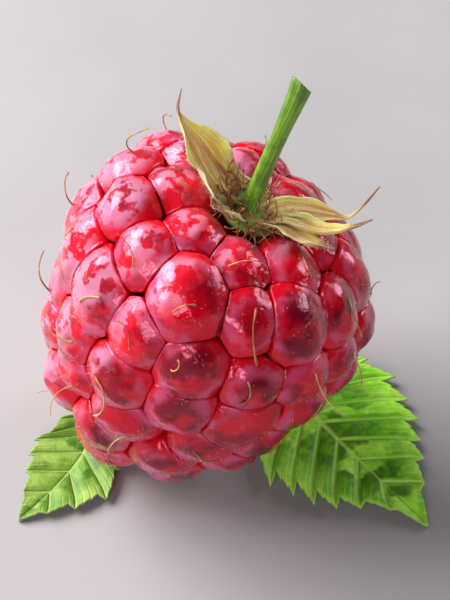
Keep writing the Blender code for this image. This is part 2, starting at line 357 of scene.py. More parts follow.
# %% Curves through a few points
def smooth(points, steps=12):
    """A smooth Catmull-Rom curve through the points."""
    points = np.array(points, float)
    ends = np.vstack([2 * points[0] - points[1], points, 2 * points[-1] - points[-2]])
    curve = []
    for a, b, c, d in zip(ends, ends[1:], ends[2:], ends[3:]):
        for t in np.arange(steps) / steps:
            curve.append(0.5 * (2 * b + (c - a) * t + (2 * a - 5 * b + 4 * c - d) * t ** 2
                                + (3 * b - a - 3 * c + d) * t ** 3))
    return np.array(curve + [points[-1]])


def lengths(curve):
    """The distance along a curve at each of its points."""
    return np.concatenate([[0.0], np.cumsum(np.linalg.norm(np.diff(curve, axis=0), axis=1))])


def along(curve, distance):
    """The point and the unit direction at a distance along a curve."""
    travelled = lengths(curve)
    k = int(np.clip(np.searchsorted(travelled, distance, side="left") - 1, 0, len(curve) - 2))
    step = curve[k + 1] - curve[k]
    share = min((distance - travelled[k]) / np.linalg.norm(step), 1.0)
    return curve[k] + step * share, step / np.linalg.norm(step)


def unit(vector):
    """A vector of length one in the same direction."""
    return vector / np.linalg.norm(vector)


def compass(turn):
    """The level direction at a turn from the front, -Y, towards +X."""
    return np.array((math.sin(turn), -math.cos(turn), 0.0))


# %% Drupelet places
OUTLINE = [(4.7, 8.8), (7.3, 8.0), (9.0, 5.3), (9.4, 2.1), (9.05, -1.4), (8.1, -4.9),
           (6.6, -8.1), (4.6, -10.8), (2.1, -12.2), (0.0, -12.5)]
ROW_STEP = 3.43
# For each row: how many drupelets, and how far it is turned, as a share of one drupelet.
ROWS = [(8, 0.90), (13, 0.05), (16, 0.50), (14, 0.60), (12, 0.20), (11, 0.00), (8, 0.30), (5, 0.40)]
DRUPELET = np.array((2.68, 2.88, 2.42))
SIZE_SPREAD = 0.05
PLACE_SPREAD = 0.15
SHIFT_ALONG = 0.3
SHIFT_OUT = 0.09
SIZE_EXTRA = 0.08
SEED = 11
UP = np.array((0.0, 0.0, 1.0))


def drupelet_places():
    """For each drupelet: its row and number, middle, three directions and size."""
    draw = random.Random(SEED)
    curve = smooth(OUTLINE)
    rows = [(k * ROW_STEP, count, turned_by) for k, (count, turned_by) in enumerate(ROWS)]
    rows.append((lengths(curve)[-1], 1, 0.0))
    places = []
    for row, (distance, count, turned_by) in enumerate(rows):
        (radius, height), (outwards, upwards) = along(curve, distance)
        for k in range(count):
            level = compass(2 * math.pi * (k + turned_by) / count)
            outline = level * outwards + UP * upwards
            normal = level * -upwards + UP * outwards
            around = np.cross(outline, normal)
            middle = level * radius + UP * height
            middle = middle + (around * draw.uniform(-1, 1) + outline * draw.uniform(-1, 1)) * PLACE_SPREAD
            size = 1 + draw.uniform(-1, 1) * SIZE_SPREAD
            places.append({"row": row, "k": k, "middle": middle, "around": around, "outline": outline,
                           "normal": normal, "size": size})
    return places


places = drupelet_places()
tones = random.Random(SEED + 1)
for seat in places:
    seat["middle"] = (seat["middle"] + seat["around"] * tones.uniform(-1, 1) * SHIFT_ALONG
                      + seat["outline"] * tones.uniform(-1, 1) * SHIFT_ALONG
                      + seat["normal"] * tones.uniform(-1, 1) * SHIFT_OUT)
    seat["size"] *= 1 + tones.uniform(-1, 1) * SIZE_EXTRA
print("drupelets:", len(places))


# %% [markdown]
# ## The drupelets, by geometry nodes
#
# The tree sets one ball on each point. A repeat zone then lets every drupelet press against
# every other: what lies past the plane between two of them, which stands nearer to the smaller
# one, is eased back behind it. Beside the planes the skin is raised a little, as a fillet, so
# that the creases are soft and shallow. What is buried is cut away, and the rest is dented by
# noise and marked for the skin: how far it rises, and how much it faces the sun or the ground.

# %% Wiring for geometry
class Growth(Wiring):
    """Wiring for a geometry tree, from its inputs to one finished shape."""

    def __init__(self, name, inputs):
        made, self.start, self.end = new_group(
            name, "GeometryNodeTree", [("Geometry", "Geometry"), *inputs, ("Material", "Material")],
            [("Geometry", "Geometry")])
        super().__init__(made.tree)

    def shape(self, kind, inputs, **settings):
        """A node that changes geometry, and its only output."""
        return self.add(kind, inputs, **settings)[0]

    def read(self, name, kind="FLOAT"):
        return self.add("GeometryNodeInputNamedAttribute", {"Name": name}, data_type=kind)["Attribute"]

    def store(self, geometry, name, value, where=True):
        return self.shape("GeometryNodeStoreNamedAttribute", {
            "Geometry": geometry, "Selection": where, "Name": name, "Value": value},
            data_type="FLOAT", domain="POINT")

    def finish(self, geometry):
        """Make the instances real, set the material, and end the tree."""
        whole = self.shape("GeometryNodeRealizeInstances", {"Geometry": geometry})
        self.feed(self.end["Geometry"], self.shape("GeometryNodeSetMaterial", {
            "Geometry": whole, "Material": self.start["Material"]}))
        return self.tree


# %% Balls on the seats
def seated_balls(grow, start):
    """One ball on each point, turned so that it faces outwards."""
    ball = grow.shape("GeometryNodeMeshIcoSphere", {"Radius": 1.0, "Subdivisions": start["Detail"]})
    facing = grow.add("FunctionNodeAxesToRotation", {
        "Primary Axis": grow.read("normal", "FLOAT_VECTOR"),
        "Secondary Axis": grow.read("around", "FLOAT_VECTOR")}, primary_axis="Z", secondary_axis="X")
    balls = grow.shape("GeometryNodeInstanceOnPoints", {
        "Points": start["Geometry"], "Instance": ball, "Rotation": facing["Rotation"],
        "Scale": grow.scaled(start["Half Sizes"], grow.read("size"))})
    return grow.shape("GeometryNodeRealizeInstances", {"Geometry": balls})


# %% Press every drupelet against every other
def pressed_balls(grow, start, loose):
    """Ease each vertex back behind the plane between its own drupelet and each other one."""
    again = grow.tree.nodes.new("GeometryNodeRepeatInput")
    done = grow.tree.nodes.new("GeometryNodeRepeatOutput")
    again.pair_with_output(done)
    grow.feed(again.inputs["Iterations"], start["Count"])
    grow.feed(again.inputs["Geometry"], loose)
    number = again.outputs["Iteration"]

    def of_other(value, kind):
        return grow.add("GeometryNodeSampleIndex", {
            "Geometry": start["Geometry"], "Value": value, "Index": number},
            data_type=kind, domain="POINT")["Value"]

    place = grow.add("GeometryNodeInputPosition")["Position"]
    own = grow.read("middle", "FLOAT_VECTOR")
    other = of_other(place, "FLOAT_VECTOR")
    bigger = grow.minus(grow.read("size"), of_other(grow.read("size"), "FLOAT"))
    share = grow.plus(grow.times(bigger, 0.5), 0.5)
    apart = grow.vector("NORMALIZE", grow.vector("SUBTRACT", other, own))
    between = grow.add("ShaderNodeMix", {0: share, 4: own, 5: other}, data_type="VECTOR")[1]
    past = grow.vector("DOT_PRODUCT", grow.vector("SUBTRACT", place, between), apart)

    near = grow.math("DIVIDE", past, start["Softness"])
    fading = grow.math("EXPONENT", grow.times(grow.math("ABSOLUTE", near), -1.0))
    eased = grow.plus(grow.math("MAXIMUM", near, 0.0),
                      grow.math("LOGARITHM", grow.plus(fading, 1.0), math.e))
    push = grow.scaled(apart, grow.times(eased, grow.times(start["Softness"], -1.0)))
    beside = grow.math("DIVIDE", grow.math("ABSOLUTE", past), start["Fillet Width"])
    fill = grow.times(start["Fillet"], grow.math("EXPONENT", grow.times(beside, -1.0)))
    raised = grow.scaled(grow.read("normal", "FLOAT_VECTOR"), fill)

    is_other = grow.add("FunctionNodeCompare", {2: grow.read("owner", "INT"), 3: number},
                        data_type="INT", operation="NOT_EQUAL")["Result"]
    deepest = grow.math("MAXIMUM", grow.read("depth"), past)
    kept = grow.store(again.outputs["Geometry"], "depth", deepest, is_other)
    grow.feed(done.inputs["Geometry"], grow.shape("GeometryNodeSetPosition", {
        "Geometry": kept, "Selection": is_other, "Offset": grow.vector("ADD", push, raised)}))
    return done.outputs["Geometry"]


# %% Cut, dent and mark the drupelets
LUMP_SCALE = 0.55
LUMP_DETAIL = 1.5


def drupelet_tree():
    """The whole tree, from the seats to the finished drupelets."""
    grow = Growth("drupelets", [
        ("Half Sizes", "Vector"), ("Detail", "Int", 4), ("Count", "Int", 1), ("Softness", "Float", 0.1),
        ("Fillet", "Float", 0.3), ("Fillet Width", "Float", 0.2), ("Buried", "Float", 0.2),
        ("Lowest", "Float", 0.0), ("Lumps", "Float", 0.1), ("Sunny Side", "Vector"),
        ("Under Side", "Vector")])
    start = grow.start
    place = grow.add("GeometryNodeInputPosition")["Position"]
    above = grow.vector("SUBTRACT", place, grow.read("middle", "FLOAT_VECTOR"))
    rise = grow.vector("DOT_PRODUCT", above, grow.read("normal", "FLOAT_VECTOR"))
    shape = grow.store(pressed_balls(grow, start, seated_balls(grow, start)), "rise", rise)
    hidden = grow.math("MAXIMUM", grow.math("GREATER_THAN", grow.read("depth"), start["Buried"]),
                       grow.math("LESS_THAN", grow.read("rise"), start["Lowest"]))
    shape = grow.shape("GeometryNodeDeleteGeometry", {"Geometry": shape, "Selection": hidden}, domain="POINT")
    lumps = grow.add("ShaderNodeTexNoise", {"Scale": LUMP_SCALE, "Detail": LUMP_DETAIL})["Fac"]
    swell = grow.times(grow.minus(lumps, 0.5), start["Lumps"])
    outwards = grow.add("GeometryNodeInputNormal")["Normal"]
    shape = grow.shape("GeometryNodeSetPosition", {
        "Geometry": shape, "Offset": grow.scaled(outwards, swell)})
    for name, side in (("sunny", "Sunny Side"), ("below", "Under Side")):
        shape = grow.store(shape, name, grow.vector("DOT_PRODUCT", outwards, start[side]))
    return grow.finish(grow.shape("GeometryNodeSetShadeSmooth", {"Geometry": shape}))


# %% [markdown]
# ## From a node tree to a plain mesh
#
# A modifier's inputs are set by the identifiers of the tree's sockets, before the object is
# first evaluated. The result is then turned into a plain mesh and put in its place, in metres,
# so that the finished piece carries no modifier.

# %% Apply a tree, and finish a piece
def apply_tree(name, mesh, tree, values):
    """Run a geometry tree on a mesh with named values, and give back a plain mesh."""
    helper = add_object(name, mesh)
    modifier = helper.modifiers.new("Grow", "NODES")
    modifier.node_group = tree
    for socket in tree.interface.items_tree:
        if socket.in_out == "INPUT" and socket.name in values:
            modifier[socket.identifier] = values[socket.name]
    bpy.context.view_layer.update()
    grown = bpy.data.meshes.new_from_object(helper.evaluated_get(bpy.context.evaluated_depsgraph_get()))
    helper.modifiers.remove(modifier)
    bpy.data.objects.remove(helper)
    return grown


def finish_piece(name, mesh, place, node_name, materials=(), lowest=0.0):
    """Put a mesh where it belongs, in metres, as a piece that stands for one solid."""
    for material in materials:
        mesh.materials.append(material)
    points = np.empty(len(mesh.vertices) * 3)
    mesh.vertices.foreach_get("co", points)
    points = place(points.reshape(-1, 3))
    points[:, 2] = np.maximum(points[:, 2], lowest)
    points = np.clip(points, BOX_LOW, BOX_HIGH) * MM
    mesh.vertices.foreach_set("co", points.ravel())
    mesh.update()
    piece = add_object(name, mesh)
    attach(piece, "root")
    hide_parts(node_name)
    print(name, "has", sum(len(face.vertices) - 2 for face in mesh.polygons), "triangles")


def points_mesh(name, points, attributes):
    """A mesh of loose points with named attributes: numbers, whole numbers or directions."""
    mesh = bpy.data.meshes.new(name)
    mesh.from_pydata([tuple(point) for point in points], [], [])
    for title, values in attributes.items():
        values = np.array(values)
        kind = "FLOAT_VECTOR" if values.ndim == 2 else "INT" if values.dtype.kind == "i" else "FLOAT"
        field = "vector" if values.ndim == 2 else "value"
        mesh.attributes.new(title, kind, "POINT").data.foreach_set(field, values.ravel())
    return mesh


# %% [markdown]
# ## The berry's skin
#
# The skin is clear and juicy. A brighter red is painted low in the creases as the glow of light
# through the flesh, and a nearly black red is painted as shade on the side away from the light,
# mixed with drupelets that are riper by chance. A pale lilac painted highlight lies on the side
# that faces the window light, a lilac painted sheen round each drupelet and a painted reflection
# of the floor below it. Subsurface scattering carries the glow and a rose-tinted reflection
# the gloss, under a thin coat.

# %% Skin material
# The body reds, the darker one also painted as shade; a brighter red painted in the creases as glow; rosy
# flecks; and lilacs for the painted rim sheen, the painted reflection below and the painted highlight.
BRIGHT_RED = (0.76, 0.001, 0.014)
RIPE_AND_SHADED_RED = (0.12, 0.0004, 0.008)
PAINTED_CREASE_GLOW = (0.62, 0.002, 0.014)
ROSY = (0.72, 0.05, 0.09)
PAINTED_RIM_SHEEN = (0.58, 0.11, 0.24)
PAINTED_UNDER_REFLECTION = (0.66, 0.10, 0.24)
PAINTED_HIGHLIGHT_LILAC = (0.62, 0.29, 0.43)

skin = Finish("berry skin")
rise = skin.mark("rise")
juice = skin.patches(430.0, 0.42, 0.58)
# painted shade and ripeness: the drupelet's tone, darker on the side away from the light, with random juicy
# patches
ripeness_and_shade = skin.plus(skin.times(skin.mark("tone"), 0.65), skin.times(juice, 0.5))
body = skin.layers(skin.mix(ripeness_and_shade, BRIGHT_RED, RIPE_AND_SHADED_RED), [(skin.patches(900.0, 0.56, 0.72), 0.4, ROSY)])
lifted = skin.fade(rise, 1.2, 2.1)
# painted sheen: a patchy lilac ring round each drupelet, for light reflected at its rim
rim = skin.times(skin.times(skin.fade(rise, 1.35, 1.6), skin.fade(rise, 2.15, 1.75)),
                 skin.patches(650.0, 0.40, 0.62))
# painted highlight: pale lilac patches on the faces turned towards the window light
facing_light = skin.fade(skin.plus(skin.mark("sunny"), skin.times(skin.mark("lit_share"), 0.35)), 0.50, 1.0)
lit_patches = skin.times(facing_light, skin.plus(skin.times(skin.patches(760.0, 0.46, 0.52), 0.65), 0.05))
# painted reflection: lilac on the faces turned downwards, for the pale floor reflected from below
reflection_below = skin.fade(skin.plus(skin.mark("below"), skin.times(skin.noise(900.0, 3.0), 0.5)), 1.00, 1.08)
# painted glow: low in each crease the body takes a brighter red, for light that shines through the flesh
shaded = skin.layers(skin.mix(lifted, PAINTED_CREASE_GLOW, body), [
    (rim, 0.6, PAINTED_RIM_SHEEN), (reflection_below, 0.7, PAINTED_UNDER_REFLECTION), (skin.times(lit_patches, lifted), 1.0, PAINTED_HIGHLIGHT_LILAC)])
skin.bump(skin.plus(skin.times(skin.noise(4200.0, 2.0), 0.3), skin.noise(1300.0, 3.0)), 0.45, 0.0002)
skin.set({
    "Base Color": shaded, "Roughness": skin.ranged(juice, 0.08, 0.18),
    "Subsurface Weight": 0.45, "Subsurface Radius": (1.0, 0.12, 0.10), "Subsurface Scale": 0.0018,
    "Specular IOR Level": 0.62, "Specular Tint": (1.0, 0.40, 0.60, 1.0),
    "Coat Weight": 0.12, "Coat IOR": 1.45, "Coat Roughness": 0.05,
    "Sheen Weight": 0.05, "Sheen Roughness": 0.22, "Sheen Tint": (1.0, 0.55, 0.78, 1.0)})
print("skin has", len(skin.tree.nodes), "nodes")

# %% Grow the drupelets
DETAIL = 5
PRESS_SOFTNESS = 0.05
FILLET = 0.24
FILLET_WIDTH = 0.2
BURIED = 0.6
LOWEST = 0.2
LUMPS = 0.5
# painted shade: drupelets that face this side, away from the window light, are painted darker
SHADED_SIDE = unit(np.array((0.75, -0.35, -0.55)))
# painted highlight: drupelets that face this side, towards the window light, are painted paler
LIT_SIDE = unit(np.array((-0.85, 0.15, 0.50)))
# painted reflection: faces turned this way take the lilac of the floor reflected from below
UNDER_SIDE = unit(np.array((-0.25, -0.50, -0.80)))
TONE_MIDDLE = 0.40
SHADE_BY_SIDE = 0.5
RIPE_BY_CHANCE = 0.35
LIGHT_BY_SIDE = 1.3
LIGHT_LESS = 0.22


def shade_of(seat, draw):
    """How dark a drupelet is, from 0 to 1: painted shade on the side away from the window light, and riper by
    chance.
    """
    by_side = SHADE_BY_SIDE * seat["normal"].dot(SHADED_SIDE)
    return float(np.clip(TONE_MIDDLE + by_side + draw.uniform(-RIPE_BY_CHANCE, RIPE_BY_CHANCE), 0, 1))


def light_of(seat):
    """How much painted highlight a drupelet gets, from 0 to 1: most on the side that faces the window light.
    """
    return float(np.clip(LIGHT_BY_SIDE * seat["normal"].dot(LIT_SIDE) - LIGHT_LESS, 0, 1))


seats = points_mesh("drupelet seats", [seat["middle"] for seat in places], {
    **{title: [seat[title] for seat in places] for title in ("middle", "around", "normal", "size")},
    "tone": [shade_of(seat, tones) for seat in places],
    "lit_share": [light_of(seat) for seat in places],
    "owner": list(range(len(places))),
})
berry_mesh = apply_tree("drupelets", seats, drupelet_tree(), {
    "Half Sizes": tuple(DRUPELET), "Detail": DETAIL, "Count": len(places), "Softness": PRESS_SOFTNESS,
    "Fillet": FILLET, "Fillet Width": FILLET_WIDTH, "Buried": BURIED, "Lowest": LOWEST, "Lumps": LUMPS,
    "Sunny Side": tuple(LIT_SIDE), "Under Side": tuple(UNDER_SIDE), "Material": skin.material})
downy = [(berry_mesh.copy(), "berry")]
finish_piece("berry_drupelets", berry_mesh, stand, "berry")

# %% [markdown]
# ## Flesh behind the drupelets
#
# Where three drupelets meet there is a small pit. A plain turned body, pushed out from the
# outline by a fixed distance, closes those pits with bright red flesh so that no light passes.

# %% Flesh
CORE_OUTSET = 0.5
CORE_TOP = [(0.0, 9.0), (1.5, 9.0), (3.0, 8.1)]
CORE_SIDES = 48
CORE_STEPS = 4
CORE_CLEARANCE = 0.02


def turned(name, profile, sides):
    """A closed mesh turned round the Z axis from (radius, height) points, axis to axis."""
    bm = bmesh.new()
    rings = []
    for radius, height in profile:
        if radius < 1e-6:
            rings.append([bm.verts.new((0.0, 0.0, height))])
            continue
        ring = [compass(2 * math.pi * k / sides) * radius + UP * height for k in range(sides)]
        rings.append([bm.verts.new(point) for point in ring])
    for upper, lower in zip(rings, rings[1:]):
        for k in range(sides):
            corners = [upper[k % len(upper)], lower[k % len(lower)],
                       lower[(k + 1) % len(lower)], upper[(k + 1) % len(upper)]]
            bm.faces.new(list(dict.fromkeys(corners)))
    mesh = bpy.data.meshes.new(name)
    return closed(mesh, bm)


def closed(mesh, bm):
    """Fill a mesh from a bmesh whose faces are turned to face outwards, and shade it smooth."""
    bmesh.ops.recalc_face_normals(bm, faces=bm.faces)
    bm.to_mesh(mesh)
    bm.free()
    mesh.shade_smooth()
    return mesh


flesh = two_tone("berry flesh", 700.0, 0.35, 0.7, (0.30, 0.001, 0.008), (0.52, 0.004, 0.014), 0.5)
curve = smooth(OUTLINE, CORE_STEPS)
profile = list(CORE_TOP)
for a, b in zip(curve, curve[1:]):
    ahead = unit(b - a)
    profile.append(tuple((a + b) / 2 + np.array((-ahead[1], ahead[0])) * CORE_OUTSET))
profile.append((0.0, OUTLINE[-1][1] - CORE_OUTSET))
finish_piece("berry_flesh", turned("flesh", profile, CORE_SIDES), stand, "berry", [flesh], CORE_CLEARANCE)


# %% [markdown]
# ## Thin blades
#
# Sepals and leaves are thin closed shells: an upper and a lower grid of points, joined round
# the rim. The grid also gives the UV map that the materials follow. Its first half runs along
# the upper side and its second half along the lower side, so a finish can tell them apart.

# %% A shell from two grids
UV_SIDE = 0.48
UV_UNDER = 0.52


def weld(mesh, distance):
    """Merge the points of a mesh that lie together, and close it."""
    bm = bmesh.new()
    bm.from_mesh(mesh)
    bmesh.ops.remove_doubles(bm, verts=bm.verts, dist=distance)
    return closed(mesh, bm)


def shell(name, top, bottom):
    """A closed thin mesh from an upper and a lower grid of points, with its UV map."""
    rows, columns = top.shape[:2]
    count = rows * columns
    index = np.arange(count).reshape(rows, columns)
    quads = np.stack([index[:-1, :-1], index[1:, :-1], index[1:, 1:], index[:-1, 1:]], axis=-1).reshape(-1, 4)
    rim = np.concatenate([index[0, :-1], index[:-1, -1], index[-1, :0:-1], index[:0:-1, 0]])
    wall = np.stack([rim, np.roll(rim, -1), np.roll(rim, -1) + count, rim + count], axis=-1)
    faces = np.concatenate([quads, quads[:, ::-1] + count, wall])
    mesh = bpy.data.meshes.new(name)
    mesh.from_pydata(np.concatenate([top.reshape(-1, 3), bottom.reshape(-1, 3)]).tolist(), [], faces.tolist())
    u, v = np.meshgrid(np.linspace(0, UV_SIDE, rows), np.linspace(0, 1, columns), indexing="ij")
    upper = np.stack([u.ravel(), v.ravel()], axis=1)
    spots = np.concatenate([upper, upper + (UV_UNDER, 0)])
    layer = mesh.uv_layers.new(name="UVMap")
    layer.data.foreach_set("uv", spots[faces.ravel()].ravel())
    return weld(mesh, 1e-4)


# %% Along and across a blade, from its UV map
wiring, start, end = new_group("blade place", "ShaderNodeTree", [("UV", "Vector")], [
    ("Along", "Float"), ("Across", "Float"), ("Under", "Float")])
parts = wiring.add("ShaderNodeSeparateXYZ", {"Vector": start["UV"]})
under = wiring.math("GREATER_THAN", parts["X"], 0.5)
from_root = wiring.minus(parts["X"], wiring.times(under, UV_UNDER))
from_middle = wiring.math("ABSOLUTE", wiring.minus(parts["Y"], 0.5))
wiring.feed(end["Along"], wiring.math("DIVIDE", from_root, UV_SIDE))
wiring.feed(end["Across"], wiring.times(from_middle, 2.0))
wiring.feed(end["Under"], under)
blade_place = wiring.tree
print("blade places:", ", ".join(end.keys()))

# %% [markdown]
# ## Leaves
#
# A raspberry leaf is quilted: side veins run from the midrib to the points of its teeth, and
# the blade arches up between them. The grid follows that plan. Its rows run from the midrib to
# the margin, the vein rows end in tooth points, and the margin between them is cut into a
# deep notch and a few small teeth that all point towards the leaf's tip.

# %% Leaf shapes
# A tooth is given by its distance along the midrib and by how far out it stands.
RIGHT_LEAF = {
    "midrib": [(6.4, 4.8), (12.1, -3.1), (17.7, -10.5)],
    "stalk": [(6.4, 4.8), (4.7, 7.2), (3.9, 9.4)],
    "left_teeth": [(1.0, 5.4), (3.0, 7.2), (5.8, 7.9), (8.4, 7.3), (10.6, 6.6), (12.4, 5.3), (14.0, 4.2),
                   (15.9, 2.5)],
    "right_teeth": [(2.8, 4.6), (5.8, 6.6), (8.7, 7.3), (10.5, 6.6), (12.1, 5.9), (13.5, 4.8), (14.7, 3.3),
                    (16.2, 1.5)],
}
LEFT_LEAF = {
    "midrib": [(-8.6, 0.8), (-8.6, -2.9), (-10.5, -6.5), (-13.2, -9.9)],
    "stalk": [(-8.6, 0.8), (-8.9, 2.8), (-9.8, 4.8)],
    "left_teeth": [(0.6, 1.1), (2.6, 1.6), (4.6, 3.4), (6.9, 4.2), (8.8, 2.9), (10.4, 1.5)],
    "right_teeth": [(0.8, 2.3), (2.6, 3.2), (4.6, 4.0), (6.7, 3.7), (8.4, 2.8), (10.2, 1.5)],
}
FIRST_VEIN = 0.03
LAST_VEIN = 0.72
VEIN_CROWDING = 1.5
ROWS_PER_TOOTH = 24
HALF_COLUMNS = 16
COLUMN_CROWDING = 0.9
BLADE_THICKNESS = 0.2
VEIN_KEEL = 0.16
VEIN_GROOVE = 0.06
VEIN_WIDTH = 0.06
MIDRIB_WIDTH = 0.05
QUILT = 0.3
# How high the quilting stands at each share of the way from the midrib to the margin.
QUILT_OUT = (0, 0.06, 0.3, 0.6, 0.85, 1.0)
QUILT_HEIGHT = (0, 0.25, 0.8, 1.0, 0.75, 0.45)
QUILT_ROUNDING = 0.75
MARGIN_LIFT = 0.3
MARGIN_FROM = 0.72
NOTCH_AT = 0.24
NOTCH_DEPTH = 0.15
TOOTH_ROUNDING = 0.8
SMALL_TEETH = 3
SMALL_DEPTH = 0.35
TOOTH_REACH = 0.05


def tooth_depth(share):
    """How deep the margin lies at a share of the way from one tooth point to the next, from 0 to 1."""
    falling = share / NOTCH_AT
    rising = 1 - np.clip((share - NOTCH_AT) / (1 - NOTCH_AT), 0, 1)
    return np.where(share < NOTCH_AT, falling, rising ** TOOTH_ROUNDING)


def margin_depth(share):
    """The main notch with small teeth along the rising edge."""
    rising = np.clip((share - NOTCH_AT) / (1 - NOTCH_AT), 0, 1)
    small = tooth_depth(np.mod(rising * SMALL_TEETH, 1.0)) * (share > NOTCH_AT)
    return tooth_depth(share) * (1 - SMALL_DEPTH * 0.5) + SMALL_DEPTH * small * np.sqrt(1 - rising)


def leaf_half(midrib, teeth, side, order, shares):
    """The level places of one half of the blade, as rows from the midrib out to the margin."""
    last = len(teeth) - 1
    tips = [midrib[0]]
    for distance, out in teeth:
        spot, direction = along(midrib, distance)
        tips.append(spot + np.array((-direction[1], direction[0])) * side * out)
    margin = smooth(tips + [midrib[-1]], ROWS_PER_TOOTH)
    vein_share = FIRST_VEIN + (LAST_VEIN - FIRST_VEIN) * (np.clip(order, 0, last) / last) ** VEIN_CROWDING
    vein_share += np.clip(order, -1, 0) * FIRST_VEIN + np.clip(order - last, 0, 1) * (1 - LAST_VEIN)
    roots = np.array([along(midrib, distance)[0] for distance in vein_share * lengths(midrib)[-1]])
    ahead = np.gradient(margin, axis=0)
    ahead /= np.linalg.norm(ahead, axis=1, keepdims=True) + 1e-9
    depth = margin_depth(np.mod(order, 1.0))[:, None]
    reach = np.linalg.norm(margin - roots, axis=1, keepdims=True)
    cut = (roots - margin) * NOTCH_DEPTH * depth + ahead * reach * TOOTH_REACH * (1 - depth)
    cut *= ((order > 0) & (order < last + 1))[:, None]
    near_margin = np.clip((shares - MARGIN_FROM) / (1 - MARGIN_FROM), 0, 1) ** 1.5
    rows = roots[:, None, :] * (1 - shares)[None, :, None] + margin[:, None, :] * shares[None, :, None]
    return rows + cut[:, None, :] * near_margin[None, :, None]


def leaf_mesh(name, shape):
    """The quilted, toothed blade as a thin shell."""
    midrib = smooth(shape["midrib"])
    count = len(shape["left_teeth"])
    order = -1 + np.arange((count + 1) * ROWS_PER_TOOTH + 1) / ROWS_PER_TOOTH
    shares = np.linspace(0, 1, HALF_COLUMNS + 1) ** COLUMN_CROWDING
    left = leaf_half(midrib, shape["left_teeth"], 1, order, shares)
    right = leaf_half(midrib, shape["right_teeth"], -1, order, shares)
    level = np.concatenate([left[:, ::-1], right[:, 1:]], axis=1)
    out = np.concatenate([shares[::-1], shares[1:]])[None, :]
    ends = np.clip(np.minimum(order + 1, count - order), 0, 1)[:, None]
    arch = np.abs(np.sin(np.pi * order))[:, None] ** QUILT_ROUNDING
    swell = np.interp(out, QUILT_OUT, QUILT_HEIGHT)
    lower = VEIN_KEEL + QUILT * arch * swell * ends + MARGIN_LIFT * out ** 3 * ends
    to_vein = np.minimum(np.mod(order, 1.0), 1 - np.mod(order, 1.0))
    vein = np.exp(-(to_vein / VEIN_WIDTH) ** 2)[:, None] * ends
    rib = np.maximum(vein * (1 - out) ** 0.5, np.exp(-(out / MIDRIB_WIDTH) ** 2))
    top = np.concatenate([level, (lower + BLADE_THICKNESS - VEIN_GROOVE * rib)[..., None]], axis=2)
    bottom = np.concatenate([level, (lower - VEIN_KEEL * rib)[..., None]], axis=2)
    return shell(name, top, bottom)


# %% Tubes with ridges
# Each ripple round a tube: how many ridges, where they start, and their share of the depth.
RIPPLES = [(5, 0.0, 0.5), (11, 1.0, 0.3), (17, 2.0, 0.2)]
SLANT_STEEPNESS = 6


def tube(name, path, radii, sides, steps=6, reference=(0.0, 0.0, 1.0), slant=0.0, ridges=0.0,
         caps=(1.0, 0.5, 0.0)):
    """A closed tube along a smooth path. Its far end drops by slant towards the reference direction."""
    curve = smooth([(*point, radius) for point, radius in zip(path, radii)], steps)
    reference = np.array(reference, float)
    angles = np.linspace(0, 2 * math.pi, sides, endpoint=False)
    wave = sum(np.sin(count * angles + begin) * depth for count, begin, depth in RIPPLES)
    rings = []
    for k, here in enumerate(curve):
        ahead = curve[min(k + 1, len(curve) - 1)] - curve[max(k - 1, 0)]
        tangent = unit(ahead[:3])
        across = unit(reference - tangent * tangent.dot(reference))
        other = np.cross(tangent, across)
        round_about = np.outer(np.cos(angles), across) + np.outer(np.sin(angles), other)
        offset = round_about * (here[3] * (1 + ridges * wave))[:, None]
        drop = slant * (k / (len(curve) - 1)) ** SLANT_STEEPNESS
        rings.append(here[:3] + offset - tangent * drop * (offset @ across)[:, None])
    first = rings[0].mean(axis=0)
    last = rings[-1].mean(axis=0)
    begin = [first + (rings[0] - first) * share for share in caps[:0:-1]]
    end = [last + (rings[-1] - last) * share for share in caps[1:]]
    grid = np.array(begin + rings + end)
    rows = len(grid)
    index = np.arange(rows * sides).reshape(rows, sides)
    after = np.roll(index, -1, axis=1)
    faces = np.stack([index[:-1], after[:-1], after[1:], index[1:]], axis=-1).reshape(-1, 4)
    mesh = bpy.data.meshes.new(name)
    mesh.from_pydata(grid.reshape(-1, 3).tolist(), [], faces.tolist())
    row = np.repeat(np.arange(rows - 1), sides)
    column = np.tile(np.arange(sides), rows - 1)
    corners_u = np.stack([row, row, row + 1, row + 1], axis=1) / (rows - 1)
    corners_v = np.stack([column, column + 1, column + 1, column], axis=1) / sides
    layer = mesh.uv_layers.new(name="UVMap")
    layer.data.foreach_set("uv", np.stack([corners_u, corners_v], axis=-1).ravel())
    mesh.polygons.foreach_set("material_index", (row >= rows - len(end) - 1).astype(int))
    return weld(mesh, 1e-5)


# %% Leaf material
PALE_UNDERSIDE = (0.52, 0.58, 0.38)


